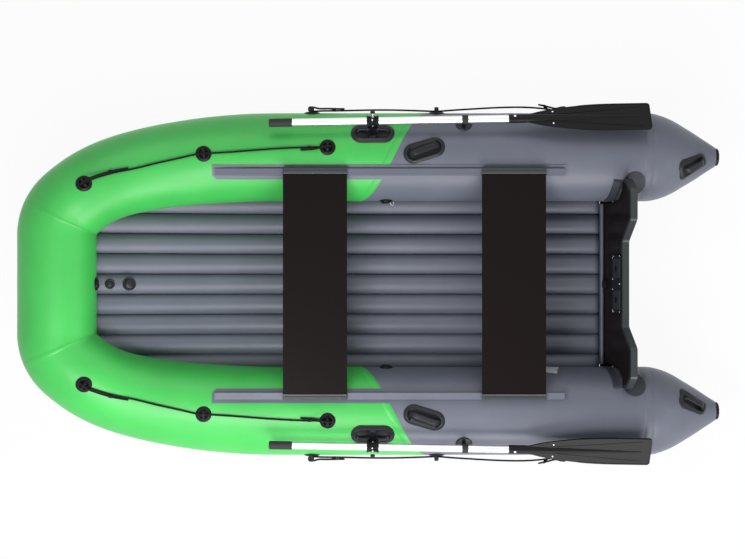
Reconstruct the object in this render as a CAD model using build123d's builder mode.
from build123d import *
from math import asin, cos, pi, radians, sin, sqrt, tan
import os

os.makedirs("parts", exist_ok=True)

# Frame: +X to the bow, +Y to port, +Z up, origin on the ground under the middle of the boat.

# Hull, the driving dimensions
LENGTH = 3000.0
BEAM = 1480.0
TUBE_R = 190.0
BOW_R = 165.0
BOW_RISE = 170.0
CORNER_R = 175.0
CORNER_START = 40.0
CORNER_SEAM = 65.0
CONE_L = 310.0
TUBE_Y = BEAM / 2 - TUBE_R
CORNER_Y = TUBE_Y - 342.0
BOW_X = LENGTH / 2 - BOW_R
BOW_Z = BOW_RISE + BOW_R
CORNER_X = BOW_X - CORNER_R
STERN_X = -LENGTH / 2
CONE_X = STERN_X + CONE_L
FIT = 0.3

# Side tube, where it stops being straight, how it bends, and where its colour changes
STRAIGHT_END = BOW_X - 1025.0
STRAIGHT_MIDDLE = (CONE_X + STRAIGHT_END) / 2
CURVE_LEAD = 213.0
CURVE_TAIL = 207.0
CURVE_LOW = Vector(BOW_X - 662, -TUBE_Y - 6, TUBE_R - 22)
CURVE_HIGH = Vector(BOW_X - 294, -TUBE_Y + 54, TUBE_R + 24)
RADIUS_HOLD = 0.2
LOFT_LEAD = 100.0
LOFT_START = STRAIGHT_END - 2 * LOFT_LEAD
LOFT_STATIONS = 6
COLOUR_X = STRAIGHT_END - 396.0
COLOUR_SLOPE = 0.46
COLOUR_RUNOUT = (40.0, 60.0)
CUT_MARGIN = 20.0

# Stern cone: how far its side has dropped after a share of its reach
CONE_TIP_R = 43.0
CONE_DROPS = [(0.13, 6.0), (0.323, 26.0), (0.544, 62.5)]
CAP_R = 38.0
CAP_LENGTH = 16.0

# Floor mat of the air floor
CELLS = 9
MAT_HALF = TUBE_Y - 154.0
CELL_PITCH = 2 * MAT_HALF / CELLS
MAT_CREST = 105.0
MAT_VALLEY = 80.0
MAT_VEE = 6.0
MAT_GROOVE = 20.0
MAT_BEND_X = STRAIGHT_END - 10.0
MAT_BEND_R = 2600.0
MAT_BEND_ANGLE = 22.0
STRIP_BEND_ANGLE = 18.0
STRIP_HALF = 30.0
STRIP_T = 3.0
MAT_BASE = STRIP_T + FIT

# Transom
TRANSOM_X = CONE_X + 185.0
TRANSOM_LEAN = 9.0
TRANSOM_T = 24.0
TRANSOM_BOTTOM = 26.0
TRANSOM_TOP = 358.0
TRANSOM_EAR = 465.0
TRANSOM_FOOT = TUBE_Y - 220.0
TRANSOM_BILGE = TUBE_Y - 148.0
TRANSOM_KNUCKLE = 64.0
TRANSOM_SIDE = TUBE_Y - 110.0
TRANSOM_SHOULDER = 400.0
TRANSOM_ROUND = 24.0
EAR_OUTER = TUBE_Y - 160.0
EAR_INNER = TUBE_Y - 280.0
CUT_HALF = TUBE_Y - 369.0
TRIM_WALL = 2.5
TRIM_DEPTH = 14.0
MOTOR_PAD_W = 266.0
MOTOR_PAD_H = 205.0
MOTOR_PAD_T = 9.0
MOTOR_PLATE_W = 248.0
MOTOR_PLATE_H = 108.0
MOTOR_PLATE_T = 7.0
PAD_CORNER = 10.0
PAD_CHAMFER = 2.0
HOLDER_SKIN = 8.0
HOLDER_LIP = 26.0
HOLDER_LIP_T = 9.0
HOLDER_HALF = 48.0
HOLDER_BOTTOM = 114.0
HOLDER_TOP = 350.0
HOLDER_INSET = 15.0
HOLDER_DISC_X = CONE_X + 78.0
HOLDER_DISC_Y = 124.0
HOLDER_DISC_R = 47.0
DRAIN_HEIGHT = 128.0
DRAIN_R = 21.0
DRAIN_T = 12.0
DRAIN_ROUND = 3.0
RING_L = 400.0

# Thwarts and the rails that they slide on
RAIL_FRONT = STRAIGHT_END + 364.0
RAIL_BACK = CONE_X + 367.0
RAIL_INNER = 108.0
RAIL_OUTER = 48.0
RAIL_SKIN = 3.0
RAIL_CHAMFER = 16.0
BEAD_SETBACK = 12.0
BEAD_OFFSET = 78.0
BEAD_W = 28.0
BEAD_TOP = 2 * TUBE_R + RAIL_SKIN
BEAD_H = 40.0
BOARD_L = 269.0
BOARD_T = 12.0
BOARD_SPAN = 2 * (TUBE_Y - 75.0)
BOARD_CORNER = 12.0
BOARD_ROUND = 2.5
PROFILE_W = 16.0
PROFILE_WALL = 3.0
PROFILE_ROUND = 2.0
BOARD_Z = BEAD_TOP + FIT + PROFILE_WALL
PROFILE_H = BOARD_T + 2 * PROFILE_WALL
FRONT_BOARD_X = RAIL_FRONT - 434.5
REAR_BOARD_X = RAIL_BACK + 226.5

# Rowlock and oar
ROWLOCK_X = STRAIGHT_END - 313.0
ROWLOCK_ANGLE = 31.0
ROWLOCK_L = 185.0
ROWLOCK_W = 87.0
ROWLOCK_SKIN = 5.0
HINGE_HEIGHT = 18.0
HINGE_R = 8.0
KNUCKLE_L = 30.0
LUG_T = 12.0
HINGE_PIN_R = 3.0
BLOCK_TOP = 33.0
BLOCK_FLARE = 4.0
PIN_R = 5.0
OAR_HEIGHT = 67.0
OAR_REST = 1.0
COLLAR_R = 24.0
COLLAR_L = 50.0
COLLAR_ROUND = 3.0
SHAFT_R = 16.0
SHAFT_WALL = 1.5
GRIP_R = 17.5
GRIP_L = 98.0
GRIP_ROUND = 5.0
OAR_FORE = 435.0
OAR_LENGTH = 1600.0
GRIP_AFT = OAR_FORE - GRIP_L
BLADE_TIP = OAR_FORE - OAR_LENGTH
BLADE_L = 524.0
BLADE_W = 134.0
BLADE_SHAPE = [(60.0, 33.5), (120.0, 46.0), (210.0, 58.5)]
BLADE_T = 7.0
BLADE_NECK_R = 18.5
BLADE_CORNER = 14.0
BLADE_RIM = 1.5
RIB_W = 5.0
RIB_END = 40.0
RIB_START = 4.0
RIB_SPREAD = 48.0
RIM_REACH = 300.0
LUG_R = 10.0
PIN_TOP = 46.0
BOSS_R = 13.0
BOSS_CLEAR = 0.5
LUG_X = (KNUCKLE_L + LUG_T) / 2 + BOSS_CLEAR
HINGE_L = KNUCKLE_L + 2 * LUG_T + 2 * BOSS_CLEAR
SCREW_ANGLE = 40.0
SCREW_STEM = 9.0
SCREW_STEM_R = 4.0
SCREW_R = 10.0
SCREW_ROUND = 4.0
NECK_L = 72.0
NECK_AFT = BLADE_TIP + BLADE_L
NECK_FORE = NECK_AFT + NECK_L
SHAFT_AFT = 21.0 - NECK_AFT
SADDLE_L = 140.0
SADDLE_W = 48.0
SADDLE_SKIN = 9.0
ARM_REACH = 59.0
ARM_R = 7.0

# Oar keepers
KEEPER_X = ROWLOCK_X - 387.0
KEEPER_ANGLE = 46.0
KEEPER_R = 31.0
KEEPER_POST_Y = 132.0
KEEPER_POST_R = 9.0
KEEPER_ROUND = 4.0
KEEPER_TOP = 2 * TUBE_R + 4.0

# Handles
HANDLE_X = ROWLOCK_X - 217.0
HANDLE_ANGLE = 4.0
HANDLE_TURN = 17.0
HANDLE_L = 180.0
HANDLE_W = 86.0
HANDLE_RISE = 36.0
HANDLE_SPAN = 0.72
HANDLE_SHOULDER = 0.7
STRAP_W = 28.0
STRAP_T = 6.0
STRAP_FOOT = 14.0
STRAP_HEEL = 8.0
STERN_HANDLE_X = CONE_X - 178.0
STERN_HANDLE_Y = 42.0
STERN_HANDLE_Z = TUBE_R + 113.0
STERN_HANDLE_SLOPE = 0.62
STERN_HANDLE_TILT = 0.36
STERN_HANDLE_TURN = 16.0
STERN_HANDLE_L = 128.0
STERN_HANDLE_W = 78.0
STERN_HANDLE_RISE = 30.0

# Eyes for the grab lines, each as a place along the boat and an angle from the crown
PATCH_T = 3.0
EYE_R = 34.0
LINE_R = 4.0
EYE_GAP = 1.0
EYE_SLOT = 19.0
EYE_POST = 9.0
EYE_BAR = 8.0
EYE_SLOPE = 75.0
BOW_EYES = [(BOW_X - 125.0, 3.3), (BOW_X - 606.0, 4.2), (BOW_X - 1148.0, 7.8)]
SIDE_EYES = [(STRAIGHT_MIDDLE + x, 80.0) for x in (699.0, 162.0, -383.0)]

# Grab lines to starboard, from one tail to the other: each end loops over its eye's bar.
# The bow line's places are from the bow tube's axis, the side tube's axis and its crown.
# The side line's are from the middle of the straight part, the boat's side and the tube's axis.
LINE_BEND = 0.45
BOW_LINE = [
    (-311, 65, 70), (-275, 73, 81), (-234, 83, 95), (-168, 110, 123), (-153, 126, 135),
    (-136, 138, 138), (-134, 141, 121), (-152, 128, 116), (-192, 110, 107), (-268, 86, 84),
    (-345, 70, 62), (-431, 45, 40), (-520, 24, 23), (-586, 7, 15), (-615, 3, 14), (-641, 0, 11),
    (-671, 0, 8), (-752, -6, 4), (-853, -14, 3), (-952, -21, 4), (-1045, -25, 4), (-1107, -26, 5),
    (-1139, -27, 6), (-1162, -27, 6), (-1162, -29, 24), (-1141, -29, 24), (-1118, -23, 18),
    (-1089, -17, 7), (-1061, -15, 5), (-1032, -14, 5),
]
SIDE_LINE = [
    (558, -20, -1), (597, -19, 8), (636, -19, 21), (669, -15, 41), (692, -23, 38), (713, -23, 38),
    (713, -5, 34), (690, -5, 34), (655, -8, 29), (570, -11, 6), (470, -16, -12), (360, -17, -14),
    (260, -12, 4), (198, -7, 27), (174, -5, 34), (149, -5, 34), (105, -12, 16), (10, -26, -18),
    (-105, -38, -39), (-220, -38, -32), (-310, -22, 0), (-355, -8, 29), (-374, -5, 34),
    (-397, -5, 34), (-397, -23, 38), (-376, -23, 38), (-353, -15, 41), (-328, -25, 20),
    (-305, -33, 6), (-280, -39, -4),
]

# Valves
VALVE_X = BOW_X - 286.0
VALVE_R = 29.0
RELIEF_X = BOW_X - 207.0
RELIEF_R = 22.0
VALVE_H = 9.0
VALVE_FLANGE = 3.0
VALVE_SEAT = 20.0
VALVE_TAPER = 20.0
VALVE_BAR = 9.0
VALVE_TURN = 35.0
VALVE_CROWN = 0.78
VALVE_BAR_L = 1.3
CHAMBER_X = ROWLOCK_X - 58.0
CHAMBER_ANGLE = -85.0
CHAMBER_R = 29.0


def corner_point(heading):
    """Point on the starboard bow corner's centre line, where it has a given heading."""
    turn = radians(heading)
    return Vector(CORNER_X + CORNER_R * sin(turn), -CORNER_Y - CORNER_R * cos(turn), BOW_Z)


def tube_path():
    """Centre line of the starboard side tube forward of its straight part, one smooth curve."""
    turn = radians(CORNER_START)
    start = Vector(STRAIGHT_END, -TUBE_Y, TUBE_R)
    end = corner_point(CORNER_START)
    with BuildLine() as line:
        Bezier(
            start,
            start + Vector(CURVE_LEAD, 0, 0),
            CURVE_LOW,
            CURVE_HIGH,
            end - Vector(cos(turn), sin(turn), 0) * CURVE_TAIL,
            end,
        )
    return line.line


def corner(start, end, grow=0.0):
    """Round bend of the starboard bow corner between two headings."""
    turn = radians(start)
    face = Plane(corner_point(start), x_dir=(-sin(turn), cos(turn), 0), z_dir=(cos(turn), sin(turn), 0))
    with BuildPart(mode=Mode.PRIVATE) as bend:
        with BuildSketch(face):
            Circle(BOW_R + grow)
        revolve(axis=Axis((CORNER_X, -CORNER_Y, 0), (0, 0, 1)), revolution_arc=end - start)
    return bend.part


def tube_radius(share):
    """Radius along the curved part, easing down to the bow tube's."""
    ease = max(0.0, share - RADIUS_HOLD) / (1 - RADIUS_HOLD)
    return TUBE_R - (TUBE_R - BOW_R) * ease**2 * (3 - 2 * ease)


def curved_tube(grow=0.0):
    """Starboard tube from its straight part to the seam in the bow corner."""
    path = tube_path()
    with BuildPart(mode=Mode.PRIVATE) as tube:
        for x in (LOFT_START, LOFT_START + LOFT_LEAD):
            with BuildSketch(Plane((x, -TUBE_Y, TUBE_R), x_dir=(0, 1, 0), z_dir=(1, 0, 0))):
                Circle(TUBE_R + grow)
        for station in range(LOFT_STATIONS + 1):
            share = station / LOFT_STATIONS
            heading = path % share
            plane = Plane(path @ share, x_dir=(-heading.Y, heading.X, 0), z_dir=heading)
            with BuildSketch(plane):
                Circle(tube_radius(share) + grow)
        loft()
        add(corner(CORNER_START, CORNER_SEAM, grow))
    return tube.part


def straight_tube(grow=0.0):
    """Straight stretch of the starboard tube, grown by a skin."""
    with BuildPart(mode=Mode.PRIVATE) as tube:
        with BuildSketch(Plane.YZ.offset(CONE_X)):
            with Locations((-TUBE_Y, TUBE_R)):
                Circle(TUBE_R + grow)
        extrude(amount=LOFT_START - CONE_X)
    return tube.part


def cone(grow=0.0):
    """Tapered stern end of the starboard tube, grown by a skin."""
    tip = STERN_X + CAP_LENGTH
    reach = CONE_X - tip
    with BuildPart(mode=Mode.PRIVATE) as body:
        with BuildSketch(Plane.XZ.offset(TUBE_Y)) as profile:
            with BuildLine():
                side = Spline(
                    (CONE_X, 2 * TUBE_R + grow),
                    *[(CONE_X - share * reach, 2 * TUBE_R - drop + grow) for share, drop in CONE_DROPS],
                    (tip, TUBE_R + CONE_TIP_R + grow),
                    tangents=[(-1, -0.04), (-1, -0.66)],
                )
                Polyline(side @ 1, (tip, TUBE_R), (CONE_X, TUBE_R), side @ 0)
            make_face()
        revolve(axis=Axis((0, -TUBE_Y, TUBE_R), (1, 0, 0)))
    return body.part


def colour_cut():
    """Everything forward of the seam where the green fabric meets the grey."""
    edge = []
    for angle in (-75, -50, -25, 0, 25, 50, 75):
        arc = TUBE_R * radians(angle)
        edge.append((COLOUR_X - COLOUR_SLOPE * arc, -TUBE_Y - TUBE_R * sin(radians(angle))))
    inner = (edge[0][0] + COLOUR_RUNOUT[0], edge[0][1] + COLOUR_RUNOUT[1])
    outer = (edge[-1][0] - COLOUR_RUNOUT[0], edge[-1][1] - COLOUR_RUNOUT[1])
    with BuildPart(mode=Mode.PRIVATE) as block:
        with BuildSketch(Plane.XY.offset(-CUT_MARGIN)):
            with BuildLine():
                Line(inner, edge[0])
                Spline(*edge)
                Polyline(edge[-1], outer, (LENGTH, outer[1]), (LENGTH, inner[1]), inner)
            make_face()
        extrude(amount=2 * (TUBE_R + CUT_MARGIN))
    return block.part


def tube_at(x):
    """Centre, heading and radius of the starboard tube at a place along the boat."""
    if x <= STRAIGHT_END:
        return Vector(x, -TUBE_Y, TUBE_R), Vector(1, 0, 0), TUBE_R
    path = tube_path()
    low, high = 0.0, 1.0
    for _ in range(30):
        share = (low + high) / 2
        if (path @ share).X < x:
            low = share
        else:
            high = share
    return path @ share, path % share, tube_radius(share)


def surface_plane(x, angle):
    """Plane on the starboard tube, angle measured outboard from its crown."""
    centre, heading, radius = tube_at(x)
    outboard = Vector(heading.Y, -heading.X, 0).normalized()
    up = outboard.cross(heading)
    normal = outboard * sin(radians(angle)) + up * cos(radians(angle))
    return Plane(origin=centre + normal * radius, x_dir=heading, z_dir=normal)


def save(builder, name):
    builder.part.label = name
    export_step(builder.part, "parts/" + name + ".step")


# Side tubes: green fabric forward, grey aft, and the stern cones
green_zone = colour_cut()
hull_straight = straight_tube()

with BuildPart() as tube_fore_starboard:
    add(hull_straight)
    add(green_zone, mode=Mode.INTERSECT)
    add(curved_tube())
save(tube_fore_starboard, "tube_fore_starboard")

with BuildPart() as tube_fore_port:
    mirror(tube_fore_starboard.part, about=Plane.XZ)
save(tube_fore_port, "tube_fore_port")

with BuildPart() as tube_aft_starboard:
    add(hull_straight)
    add(green_zone, mode=Mode.SUBTRACT)
save(tube_aft_starboard, "tube_aft_starboard")

with BuildPart() as tube_aft_port:
    mirror(tube_aft_starboard.part, about=Plane.XZ)
save(tube_aft_port, "tube_aft_port")

with BuildPart() as stern_cone_starboard:
    add(cone())
save(stern_cone_starboard, "stern_cone_starboard")

with BuildPart() as stern_cone_port:
    mirror(stern_cone_starboard.part, about=Plane.XZ)
save(stern_cone_port, "stern_cone_port")

with BuildPart() as cone_caps:
    for side in (-1, 1):
        with BuildSketch(Plane.YZ.offset(STERN_X + CAP_LENGTH)):
            with Locations((side * TUBE_Y, TUBE_R)):
                Circle(CAP_R)
        extrude(amount=-CAP_LENGTH)
    fillet(cone_caps.faces().sort_by(Axis.X)[:2].edges(), CAP_LENGTH / 2)
save(cone_caps, "cone_caps")


def bow_bar(grow=0.0, start=CORNER_SEAM):
    """Bow tube with its two bends, from one heading in the corner to the other."""
    with BuildPart(mode=Mode.PRIVATE) as bar:
        with BuildSketch(Plane.XZ):
            with Locations((BOW_X, BOW_Z)):
                Circle(BOW_R + grow)
        extrude(amount=CORNER_Y, both=True)
        add(corner(start, 90, grow))
        mirror(corner(start, 90, grow), about=Plane.XZ)
    return bar.part


with BuildPart() as bow_tube:
    add(bow_bar())
save(bow_tube, "bow_tube")


# Cutters that follow the hull with a running fit, and skins for patches bonded to it
curved_cut = curved_tube(FIT)
straight_cut = straight_tube(FIT)
cone_cut = cone(FIT)
curved_skin = curved_tube(PATCH_T)
straight_skin = straight_tube(PATCH_T)
cone_skin = cone(PATCH_T)


def mat_seam(y):
    """Height of the seams under the mat, rising from the keel as a shallow vee."""
    return MAT_BASE + MAT_GROOVE + MAT_VEE * (abs(y) / CELL_PITCH - 0.5)


def mat_top(x):
    """Plane on the crest of the middle cell, at a distance forward of the middle."""
    crest_r = MAT_BEND_R - MAT_CREST
    turn = asin(max(0.0, x - MAT_BEND_X) / crest_r)
    return Plane(
        origin=(x, 0, MAT_BEND_R - crest_r * cos(turn)),
        x_dir=(cos(turn), 0, sin(turn)),
        z_dir=(-sin(turn), 0, cos(turn)),
    )


lean = radians(TRANSOM_LEAN)
transom_face = Plane(
    origin=(TRANSOM_X, 0, 0),
    x_dir=(0, -1, 0),
    z_dir=(-cos(lean), 0, -sin(lean)),
)
transom_front = Plane(transom_face.origin, x_dir=(0, 1, 0), z_dir=-transom_face.z_dir)
mat_bend = Axis((MAT_BEND_X, 0, MAT_BEND_R), (0, -1, 0))

bow_cut = bow_bar(FIT, CORNER_START)

# Air floor: nine lengthwise cells that bend up to the bow, trimmed by the tubes
with BuildPart() as floor_mat:
    with BuildSketch(Plane.YZ.offset(MAT_BEND_X)):
        with BuildLine():
            for cell in range(CELLS):
                left = (cell - CELLS / 2) * CELL_PITCH
                right = left + CELL_PITCH
                middle = (left + right) / 2
                low = MAT_BASE + MAT_VEE * abs(middle) / CELL_PITCH
                ThreePointArc((left, MAT_VALLEY), (middle, MAT_CREST), (right, MAT_VALLEY))
                ThreePointArc((left, mat_seam(left)), (middle, low), (right, mat_seam(right)))
            Line((-MAT_HALF, MAT_VALLEY), (-MAT_HALF, mat_seam(MAT_HALF)))
            Line((MAT_HALF, MAT_VALLEY), (MAT_HALF, mat_seam(MAT_HALF)))
        make_face()
    extrude(amount=TRANSOM_X - MAT_BEND_X - 2 * TRANSOM_T)
    revolve(
        floor_mat.faces().sort_by(Axis.X)[-1],
        axis=mat_bend,
        revolution_arc=MAT_BEND_ANGLE,
    )
    add(bow_cut, mode=Mode.SUBTRACT)
    for cutter in (straight_cut, curved_cut):
        add(cutter, mode=Mode.SUBTRACT)
        mirror(cutter, about=Plane.XZ, mode=Mode.SUBTRACT)
    split(bisect_by=transom_face, keep=Keep.BOTTOM)
save(floor_mat, "floor_mat")

CELL_R = ((CELL_PITCH / 2) ** 2 + MAT_GROOVE**2) / (2 * MAT_GROOVE)
STRIP_SAG = CELL_R - sqrt(CELL_R**2 - STRIP_HALF**2)

with BuildPart() as keel_strip:
    with BuildSketch(Plane.YZ.offset(MAT_BEND_X)):
        with BuildLine():
            for level in (MAT_BASE - FIT, 0):
                ThreePointArc(
                    (-STRIP_HALF, level + STRIP_SAG), (0, level), (STRIP_HALF, level + STRIP_SAG)
                )
            for side in (-STRIP_HALF, STRIP_HALF):
                Line((side, STRIP_SAG), (side, STRIP_SAG + MAT_BASE - FIT))
        make_face()
    extrude(amount=TRANSOM_X - MAT_BEND_X)
    revolve(
        keel_strip.faces().sort_by(Axis.X)[-1],
        axis=mat_bend,
        revolution_arc=STRIP_BEND_ANGLE,
    )
save(keel_strip, "keel_strip")


# Transom: a leaning board between the tubes, its trim, its holders and the motor pads
def transom_outline():
    """Board seen square on, cut low in the middle for the motor."""
    half = [
        (TRANSOM_FOOT, TRANSOM_BOTTOM),
        (TRANSOM_BILGE, TRANSOM_KNUCKLE),
        (TRANSOM_SIDE, 2 * TRANSOM_KNUCKLE - TRANSOM_BOTTOM),
        (TRANSOM_SIDE, TRANSOM_SHOULDER),
        (EAR_OUTER, TRANSOM_EAR),
        (EAR_INNER, TRANSOM_EAR),
        (CUT_HALF, TRANSOM_TOP),
    ]
    with BuildSketch(mode=Mode.PRIVATE) as outline:
        Polygon(*half, *[(-x, y) for x, y in reversed(half)], align=None)
        fillet(outline.vertices().filter_by(lambda v: v.Y > TUBE_R), TRANSOM_ROUND)
    return outline.sketch


def ring_cut(radius):
    """Round bar along both tubes, to trim what meets them."""
    with BuildPart(mode=Mode.PRIVATE) as bar:
        with BuildSketch(Plane.YZ.offset(CONE_X + 2)):
            for side in (-1, 1):
                with Locations((side * TUBE_Y, TUBE_R)):
                    Circle(radius)
        extrude(amount=RING_L)
    return bar.part


with BuildPart() as transom_board:
    with BuildSketch(transom_face):
        add(transom_outline())
    extrude(amount=TRANSOM_T)
    add(ring_cut(TUBE_R + HOLDER_SKIN + FIT), mode=Mode.SUBTRACT)
save(transom_board, "transom_board")

with BuildPart() as transom_trim:
    with BuildSketch(transom_face.offset(-TRIM_WALL)):
        offset(transom_outline(), amount=TRIM_WALL)
        offset(transom_outline(), amount=-TRIM_DEPTH, mode=Mode.SUBTRACT)
        with Locations((0, TRANSOM_TOP - TRIM_DEPTH)):
            Rectangle(2 * TUBE_Y, TUBE_R, align=(Align.CENTER, Align.MIN), mode=Mode.INTERSECT)
    extrude(amount=TRANSOM_T + 2 * TRIM_WALL)
    add(transom_board.part, mode=Mode.SUBTRACT)
    add(ring_cut(TUBE_R + HOLDER_LIP + FIT), mode=Mode.SUBTRACT)
save(transom_trim, "transom_trim")


def motor_pad(face, width, height, thickness):
    """Rectangular clamp pad whose top lies under the trim."""
    with BuildPart() as pad:
        with BuildSketch(face):
            with Locations((0, TRANSOM_TOP - TRIM_DEPTH - FIT)):
                RectangleRounded(width, height, PAD_CORNER, align=(Align.CENTER, Align.MAX))
        extrude(amount=thickness)
        chamfer(pad.faces().sort_by(Axis(face.origin, face.z_dir))[-1].edges(), PAD_CHAMFER)
    return pad.part


with BuildPart() as motor_pad_outer:
    outer_face = transom_face.offset(TRANSOM_T)
    add(motor_pad(outer_face, MOTOR_PAD_W, MOTOR_PAD_H, MOTOR_PAD_T))
save(motor_pad_outer, "motor_pad_outer")

with BuildPart() as motor_plate_inner:
    add(motor_pad(transom_front, MOTOR_PLATE_W, MOTOR_PLATE_H, MOTOR_PLATE_T))
save(motor_plate_inner, "motor_plate_inner")

with BuildPart() as transom_holder:
    with BuildSketch(mode=Mode.PRIVATE) as holder_zone:
        with Locations((TUBE_Y - TUBE_R, HOLDER_BOTTOM)):
            Rectangle(TUBE_R / 2 - HOLDER_INSET, HOLDER_TOP - HOLDER_BOTTOM, align=Align.MIN)
    with BuildSketch(transom_face.offset(TRANSOM_T / 2)):
        add(holder_zone.sketch)
    extrude(amount=HOLDER_HALF, both=True)
    add(ring_cut(TUBE_R + HOLDER_SKIN), mode=Mode.INTERSECT)
    for side in (-1, 1):
        lip_face = transom_face.offset(TRANSOM_T / 2 + side * (TRANSOM_T / 2 + FIT))
        lip_zone = lip_face.location * holder_zone.sketch
        lip = extrude(lip_zone, amount=side * HOLDER_LIP_T, mode=Mode.PRIVATE)
        add(lip & ring_cut(TUBE_R + HOLDER_LIP))
    with BuildSketch(Plane.XY.offset(TUBE_R), mode=Mode.PRIVATE) as disc_zone:
        with Locations((HOLDER_DISC_X, -TUBE_Y + HOLDER_DISC_Y)):
            Circle(HOLDER_DISC_R)
    disc = extrude(disc_zone.sketch, amount=2 * TUBE_R, mode=Mode.PRIVATE)
    add(disc & straight_skin)
    add(straight_cut, mode=Mode.SUBTRACT)


def save_pair(builder, name):
    """Write a starboard piece and its mirror image to port."""
    save(builder, name + "_starboard")
    with BuildPart() as twin:
        mirror(builder.part, about=Plane.XZ)
    save(twin, name + "_port")


def on(face, plane):
    """A plane given in the axes of another plane."""
    return Plane(face.location * plane.location)


def on_hull(face, hull, shape, *sizes):
    """Patch of a flat shape on a face of the tube, as thick as the hull's skin there."""
    with BuildSketch(face.offset(-TUBE_R / 3), mode=Mode.PRIVATE) as zone:
        shape(*sizes)
    return extrude(zone.sketch, amount=TUBE_R, mode=Mode.PRIVATE) & hull


save_pair(transom_holder, "transom_holder")

with BuildPart() as transom_drain:
    with BuildSketch(transom_front):
        with Locations((0, DRAIN_HEIGHT)):
            Circle(DRAIN_R)
    extrude(amount=DRAIN_T)
    fillet(transom_drain.faces().sort_by(Axis.X)[-1].edges(), DRAIN_ROUND)
save(transom_drain, "transom_drain")

# Rails along the tubes: a fabric strip with a raised bead that carries the thwarts
with BuildPart() as seat_rail:
    with BuildSketch(Plane.XY.offset(TUBE_R), mode=Mode.PRIVATE) as rail_strip:
        with Locations(((RAIL_FRONT + RAIL_BACK) / 2, -TUBE_Y + (RAIL_INNER + RAIL_OUTER) / 2)):
            Rectangle(RAIL_FRONT - RAIL_BACK, RAIL_INNER - RAIL_OUTER)
        chamfer(rail_strip.vertices().group_by(Axis.Y)[-1], RAIL_CHAMFER)
    strip = extrude(rail_strip.sketch, amount=2 * TUBE_R, mode=Mode.PRIVATE)
    add(strip & straight_tube(RAIL_SKIN))
    add(strip & curved_tube(RAIL_SKIN))
    with BuildSketch(Plane.YZ.offset(RAIL_BACK + BEAD_SETBACK)):
        with Locations((-TUBE_Y + BEAD_OFFSET, BEAD_TOP)):
            Rectangle(BEAD_W, BEAD_H, align=(Align.CENTER, Align.MAX))
    extrude(amount=RAIL_FRONT - RAIL_BACK - 2 * BEAD_SETBACK)
    add(straight_cut, mode=Mode.SUBTRACT)
    add(curved_cut, mode=Mode.SUBTRACT)
save_pair(seat_rail, "seat_rail")

# Thwarts: a board across the boat with a plastic profile round each end
for name, middle in (("front", FRONT_BOARD_X), ("rear", REAR_BOARD_X)):
    with BuildPart() as seat_board:
        with BuildSketch(Plane.XY.offset(BOARD_Z)):
            with Locations((middle, 0)):
                RectangleRounded(BOARD_L, BOARD_SPAN, BOARD_CORNER)
        extrude(amount=BOARD_T)
        fillet(seat_board.faces().sort_by(Axis.Z)[-1].edges(), BOARD_ROUND)
    save(seat_board, "seat_board_" + name)
    with BuildPart() as seat_profile:
        with BuildSketch(Plane.XY.offset(BOARD_Z - PROFILE_WALL)):
            for side in (-1, 1):
                with Locations((middle, side * (BOARD_SPAN + 2 * PROFILE_WALL - PROFILE_W) / 2)):
                    Rectangle(BOARD_L + 1, PROFILE_W)
        extrude(amount=PROFILE_H)
        fillet(seat_profile.edges().filter_by(Axis.X).group_by(Axis.Z)[-1], PROFILE_ROUND)
        add(seat_board.part, mode=Mode.SUBTRACT)
    save(seat_profile, "seat_profile_" + name)

# Rowlocks: a bonded base with a hinge along the tube, a tilting block and its upright pin
rowlock_face = surface_plane(ROWLOCK_X, ROWLOCK_ANGLE)

with BuildPart() as rowlock_base:
    add(on_hull(rowlock_face, straight_tube(ROWLOCK_SKIN), SlotOverall, ROWLOCK_L, ROWLOCK_W))
    add(on_hull(rowlock_face, straight_tube(SADDLE_SKIN), SlotOverall, SADDLE_L, SADDLE_W))
    for side in (-1, 1):
        with BuildSketch(on(rowlock_face, Plane.YZ.offset(side * LUG_X - LUG_T / 2))):
            with Locations((0, HINGE_HEIGHT)):
                Circle(LUG_R)
            Rectangle(2 * LUG_R, 2 * HINGE_HEIGHT)
            with Locations((0, HINGE_HEIGHT)):
                Circle(HINGE_PIN_R + FIT, mode=Mode.SUBTRACT)
        extrude(amount=LUG_T)
        with BuildSketch(on(rowlock_face, Plane.YZ.offset(side * (LUG_X + LUG_T / 2)))):
            with Locations((0, SADDLE_SKIN)):
                Circle(ARM_R)
        extrude(amount=side * (ARM_REACH - LUG_X - LUG_T / 2))
    add(straight_cut, mode=Mode.SUBTRACT)
save_pair(rowlock_base, "rowlock_base")

with BuildPart() as rowlock_block:
    for length, radius in ((KNUCKLE_L, HINGE_R), (HINGE_L, HINGE_PIN_R)):
        with BuildSketch(on(rowlock_face, Plane.YZ.offset(-length / 2))):
            with Locations((0, HINGE_HEIGHT)):
                Circle(radius)
        extrude(amount=length)
    with BuildSketch(rowlock_face.offset(HINGE_HEIGHT)):
        RectangleRounded(KNUCKLE_L, 2 * HINGE_R, BLOCK_FLARE)
    with BuildSketch(rowlock_face.offset(BLOCK_TOP)):
        RectangleRounded(KNUCKLE_L, 2 * (HINGE_R + BLOCK_FLARE), BLOCK_FLARE)
    loft()
    with BuildSketch(rowlock_face.offset(BLOCK_TOP)):
        Circle(PIN_R)
    extrude(amount=PIN_TOP - BLOCK_TOP)
save_pair(rowlock_block, "rowlock_block")

# Oars: shaft in a collar on the pin, blade aft and lying level with the tube's slope
oar_face = rowlock_face.offset(OAR_HEIGHT).rotated((0, 0, OAR_REST))

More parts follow.
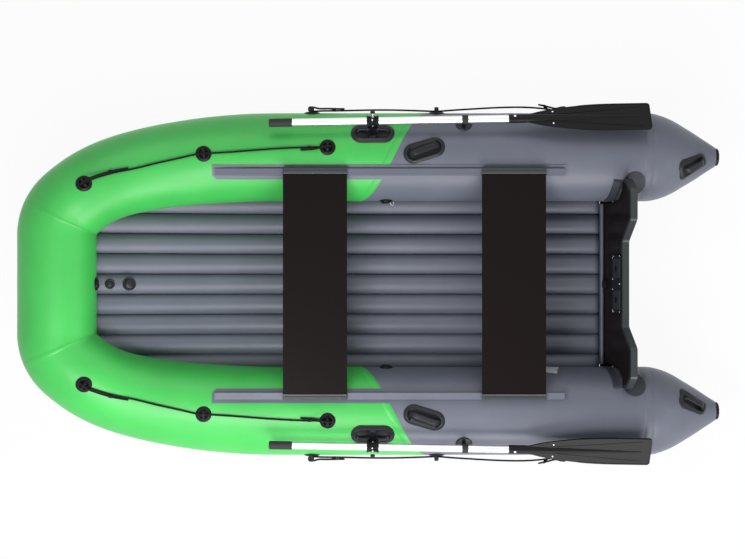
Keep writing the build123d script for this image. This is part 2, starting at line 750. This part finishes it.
with BuildPart() as oar_collar:
    with BuildSketch(on(oar_face, Plane.YZ.offset(-COLLAR_L / 2))):
        Circle(COLLAR_R)
    extrude(amount=COLLAR_L)
    fillet(oar_collar.edges().filter_by(GeomType.CIRCLE), COLLAR_ROUND)
    with BuildSketch(rowlock_face.offset(BLOCK_TOP + BOSS_CLEAR)):
        Circle(BOSS_R)
    extrude(amount=OAR_HEIGHT - BLOCK_TOP - BOSS_CLEAR)
    with BuildSketch(rowlock_face.offset(BLOCK_TOP)):
        Circle(PIN_R + FIT)
    extrude(amount=PIN_TOP + FIT - BLOCK_TOP, mode=Mode.SUBTRACT)
    with BuildSketch(on(oar_face, Plane.YZ.offset(-COLLAR_L))):
        Circle(SHAFT_R + FIT / 2)
    extrude(amount=2 * COLLAR_L, mode=Mode.SUBTRACT)
save_pair(oar_collar, "oar_collar")

with BuildPart() as oar_screw:
    screw_face = oar_face.rotated((SCREW_ANGLE, 0, 0))
    with BuildSketch(screw_face.offset(COLLAR_R + FIT)):
        Circle(SCREW_STEM_R)
    extrude(amount=SCREW_STEM)
    with BuildSketch(screw_face.offset(COLLAR_R + FIT + SCREW_STEM)):
        Circle(SCREW_R)
    extrude(amount=SCREW_R)
    fillet(oar_screw.edges().filter_by(GeomType.CIRCLE).sort_by(SortBy.RADIUS)[-2:], SCREW_ROUND)
save_pair(oar_screw, "oar_screw")

with BuildPart() as oar_shaft:
    with BuildSketch(on(oar_face, Plane.YZ.offset(-SHAFT_AFT))):
        Circle(SHAFT_R)
        Circle(SHAFT_R - SHAFT_WALL, mode=Mode.SUBTRACT)
    extrude(amount=SHAFT_AFT + GRIP_AFT)
save_pair(oar_shaft, "oar_shaft")

with BuildPart() as oar_grip:
    with BuildSketch(on(oar_face, Plane.YZ.offset(GRIP_AFT))):
        Circle(GRIP_R)
    extrude(amount=GRIP_L)
    fillet(oar_grip.edges().filter_by(GeomType.CIRCLE), GRIP_ROUND)
save_pair(oar_grip, "oar_grip")


def blade_outline(inset=0.0):
    """Blade seen flat, drawn in from its edge by an inset."""
    end = BLADE_W / 2
    with BuildSketch(mode=Mode.PRIVATE) as outline:
        with BuildLine():
            edge = Spline(
                (NECK_AFT, BLADE_NECK_R - 2 - inset),
                *[(NECK_AFT - along, half - inset) for along, half in BLADE_SHAPE],
                (BLADE_TIP + BLADE_CORNER, end - inset),
                tangents=[(-1, 0.25), (-1, 0)],
            )
            tip = Line((BLADE_TIP + inset, end - BLADE_CORNER), (BLADE_TIP + inset, 0))
            RadiusArc(edge @ 1, tip @ 0, inset - BLADE_CORNER)
            Line(edge @ 0, (NECK_AFT, 0))
            mirror(about=Plane.XZ)
        make_face()
    return outline.sketch


with BuildPart() as oar_blade:
    with BuildSketch(oar_face.offset(-BLADE_T / 2)):
        add(blade_outline())
    extrude(amount=BLADE_T)
    with BuildSketch(oar_face.offset(-BLADE_T / 2 - BLADE_RIM)):
        add(blade_outline())
        add(blade_outline(RIB_W), mode=Mode.SUBTRACT)
        with Locations((BLADE_TIP, 0)):
            Rectangle(RIM_REACH, BLADE_W, align=(Align.MIN, Align.CENTER), mode=Mode.INTERSECT)
    extrude(amount=BLADE_T + 2 * BLADE_RIM)
    with BuildSketch(oar_face.offset(-BLADE_T / 2 - BLADE_RIM)):
        for side in (-1, 1):
            with BuildLine():
                Polyline(
                    (NECK_AFT - RIB_W, side * RIB_START),
                    (BLADE_TIP + RIB_END, side * RIB_SPREAD),
                    (BLADE_TIP + RIB_END, side * (RIB_SPREAD + RIB_W)),
                    (NECK_AFT - RIB_W, side * (RIB_START + RIB_W)),
                    close=True,
                )
            make_face()
    extrude(amount=BLADE_T + 2 * BLADE_RIM)
    with BuildSketch(on(oar_face, Plane.XY)):
        with BuildLine():
            Polyline(
                (NECK_FORE, 0),
                (NECK_FORE, BLADE_NECK_R),
                (NECK_AFT, BLADE_NECK_R),
                (BLADE_TIP + RIB_END, BLADE_T / 2 + BLADE_RIM),
                (BLADE_TIP + RIB_END, 0),
                close=True,
            )
        make_face()
    revolve(axis=Axis(oar_face.origin, oar_face.x_dir))
    with BuildSketch(on(oar_face, Plane.YZ.offset(-SHAFT_AFT))):
        Circle(SHAFT_R + FIT / 2)
    extrude(amount=SHAFT_AFT, mode=Mode.SUBTRACT)
save_pair(oar_blade, "oar_blade")

# Oar keepers: a round patch and a short post under the resting shaft
with BuildPart() as oar_keeper:
    keeper_face = surface_plane(KEEPER_X, KEEPER_ANGLE)
    add(on_hull(keeper_face, straight_skin, Circle, KEEPER_R))
    with BuildSketch(Plane.XY.offset(TUBE_R)):
        with Locations((KEEPER_X, -TUBE_Y - KEEPER_POST_Y)):
            Circle(KEEPER_POST_R)
    extrude(amount=KEEPER_TOP - TUBE_R)
    fillet(oar_keeper.faces().sort_by(Axis.Z)[-1].edges(), KEEPER_ROUND)
    add(straight_cut, mode=Mode.SUBTRACT)
save_pair(oar_keeper, "oar_keeper")


def arch(half, rise):
    """Half of a handle's arch, from its foot over a shoulder to its crown."""
    return [(half, STRAP_T / 3), (half * HANDLE_SPAN, rise * HANDLE_SHOULDER), (0, rise)]


# Handles: a patch with a bar arched over it
def handle(face, hull, length, width, rise, cutter):
    """Patch on a hull skin and a flat bar bent over it, along the face's x."""
    foot = HANDLE_SPAN * length / 2 + STRAP_FOOT
    heel = HANDLE_SPAN * length / 2 - STRAP_HEEL
    with BuildPart(mode=Mode.PRIVATE) as piece:
        add(on_hull(face, hull, SlotOverall, length, width))
        with BuildSketch(on(face, Plane.XZ.offset(-STRAP_W / 2))):
            with BuildLine():
                outer = Spline(*arch(foot, rise))
                inner = Spline(*arch(heel, rise - STRAP_T))
                Polyline(outer @ 0, (foot, -2 * STRAP_T), (heel, -2 * STRAP_T), inner @ 0)
                Line(outer @ 1, inner @ 1)
            make_face()
            mirror(about=Plane.YZ)
        extrude(amount=STRAP_W)
        add(cutter, mode=Mode.SUBTRACT)
    return piece.part


with BuildPart() as carry_handle:
    grip_face = surface_plane(HANDLE_X, HANDLE_ANGLE).rotated((0, 0, HANDLE_TURN))
    add(handle(grip_face, straight_skin, HANDLE_L, HANDLE_W, HANDLE_RISE, straight_cut))
save_pair(carry_handle, "carry_handle")

with BuildPart() as stern_handle:
    slope = Plane(
        origin=(STERN_HANDLE_X, -TUBE_Y + STERN_HANDLE_Y, STERN_HANDLE_Z),
        x_dir=(1, 0, STERN_HANDLE_SLOPE),
        z_dir=(-STERN_HANDLE_SLOPE, STERN_HANDLE_TILT, 1),
    ).rotated((0, 0, STERN_HANDLE_TURN))
    add(handle(slope, cone_skin, STERN_HANDLE_L, STERN_HANDLE_W, STERN_HANDLE_RISE, cone_cut))
save_pair(stern_handle, "stern_handle")


# Eyes that the grab lines run through: a round patch with a bar on two posts
BAR_UNDER = PATCH_T + EYE_GAP + 2 * LINE_R + EYE_GAP
BAR_TOP = BAR_UNDER + EYE_BAR


def eye(face, hull, cutter):
    """Round patch and, across it, a bar that the line passes under and loops over."""
    with BuildPart(mode=Mode.PRIVATE) as piece:
        add(on_hull(face, hull, Circle, EYE_R))
        with BuildSketch(on(face, Plane.YZ.offset(-EYE_BAR / 2))):
            Trapezoid(EYE_SLOT + 2 * EYE_POST, BAR_TOP, EYE_SLOPE, align=(Align.CENTER, Align.MIN))
            Rectangle(EYE_SLOT + 2 * EYE_POST, BAR_TOP, align=(Align.CENTER, Align.MAX))
            Rectangle(EYE_SLOT, 2 * BAR_UNDER, mode=Mode.SUBTRACT)
        extrude(amount=EYE_BAR)
        fillet(piece.faces().sort_by(Axis(face.origin, face.z_dir))[-1].edges(), EYE_BAR / 4)
        add(cutter, mode=Mode.SUBTRACT)
    return piece.part


with BuildPart() as line_eyes:
    for x, angle in BOW_EYES + SIDE_EYES:
        if x > LOFT_START:
            add(eye(surface_plane(x, angle), curved_skin, curved_cut))
        else:
            add(eye(surface_plane(x, angle), straight_skin, straight_cut))
save_pair(line_eyes, "line_eyes")


# Grab lines: rope along straight runs joined by arcs as large as the runs allow
def rope(start, points, name):
    """Round rope along a route of points, with the radius of each bend from its two runs."""
    corners = [start + Vector(*point) for point in points]
    runs = [after - before for before, after in zip(corners, corners[1:])]
    radii = []
    for arriving, leaving in zip(runs, runs[1:]):
        half_turn = radians(arriving.get_angle(leaving)) / 2
        radii.append(LINE_BEND * min(arriving.length, leaving.length) / tan(half_turn))
    print(name, "radii", [round(radius, 1) for radius in radii])
    with BuildPart(mode=Mode.PRIVATE) as line:
        with BuildLine() as route:
            FilletPolyline(*corners, radius=radii)
        with BuildSketch(Plane(origin=corners[0], z_dir=runs[0])):
            Circle(LINE_R)
        sweep(path=route.wire())
    length = route.wire().length
    share = line.part.volume / (pi * LINE_R**2 * length)
    print(name, "length", round(length), "volume against section times length", round(share, 4))
    return line.part


with BuildPart() as bow_line:
    add(rope(Vector(BOW_X, -TUBE_Y, 2 * TUBE_R), BOW_LINE, "bow_line"))
save_pair(bow_line, "bow_line")

with BuildPart() as side_line:
    add(rope(Vector(STRAIGHT_MIDDLE, -BEAM / 2, TUBE_R), SIDE_LINE, "side_line"))
save_pair(side_line, "side_line")

# Valves: two on the floor at the bow, one on the bow tube, one on each side chamber
def valve(face, radius):
    """Flanged cap with a grip bar across its crown, sunk to its seat below the face."""
    with BuildPart(mode=Mode.PRIVATE) as cap:
        with BuildSketch(face.offset(-VALVE_SEAT)):
            Circle(radius)
        extrude(amount=VALVE_SEAT + VALVE_FLANGE)
        with BuildSketch(face.offset(VALVE_FLANGE)):
            Circle(radius * VALVE_CROWN)
        extrude(amount=VALVE_H - VALVE_FLANGE, taper=VALVE_TAPER)
        with BuildSketch(face.offset(VALVE_H)):
            SlotOverall(radius * VALVE_BAR_L, VALVE_BAR, rotation=VALVE_TURN)
        extrude(amount=VALVE_FLANGE)
    return cap.part


with BuildPart() as floor_valve:
    add(valve(mat_top(VALVE_X), VALVE_R))
    add(floor_mat.part, mode=Mode.SUBTRACT)
save(floor_valve, "floor_valve")

with BuildPart() as relief_valve:
    add(valve(mat_top(RELIEF_X), RELIEF_R))
    add(floor_mat.part, mode=Mode.SUBTRACT)
save(relief_valve, "relief_valve")

with BuildPart() as chamber_valves:
    add(valve(surface_plane(CHAMBER_X, CHAMBER_ANGLE), CHAMBER_R))
    mirror(about=Plane.XZ)
    bow_face = Plane(origin=(BOW_X - BOW_R, 0, BOW_Z), x_dir=(0, 1, 0), z_dir=(-1, 0, 0))
    add(valve(bow_face, CHAMBER_R))
    add(straight_cut, mode=Mode.SUBTRACT)
    mirror(straight_cut, about=Plane.XZ, mode=Mode.SUBTRACT)
    add(bow_cut, mode=Mode.SUBTRACT)
save(chamber_valves, "chamber_valves")
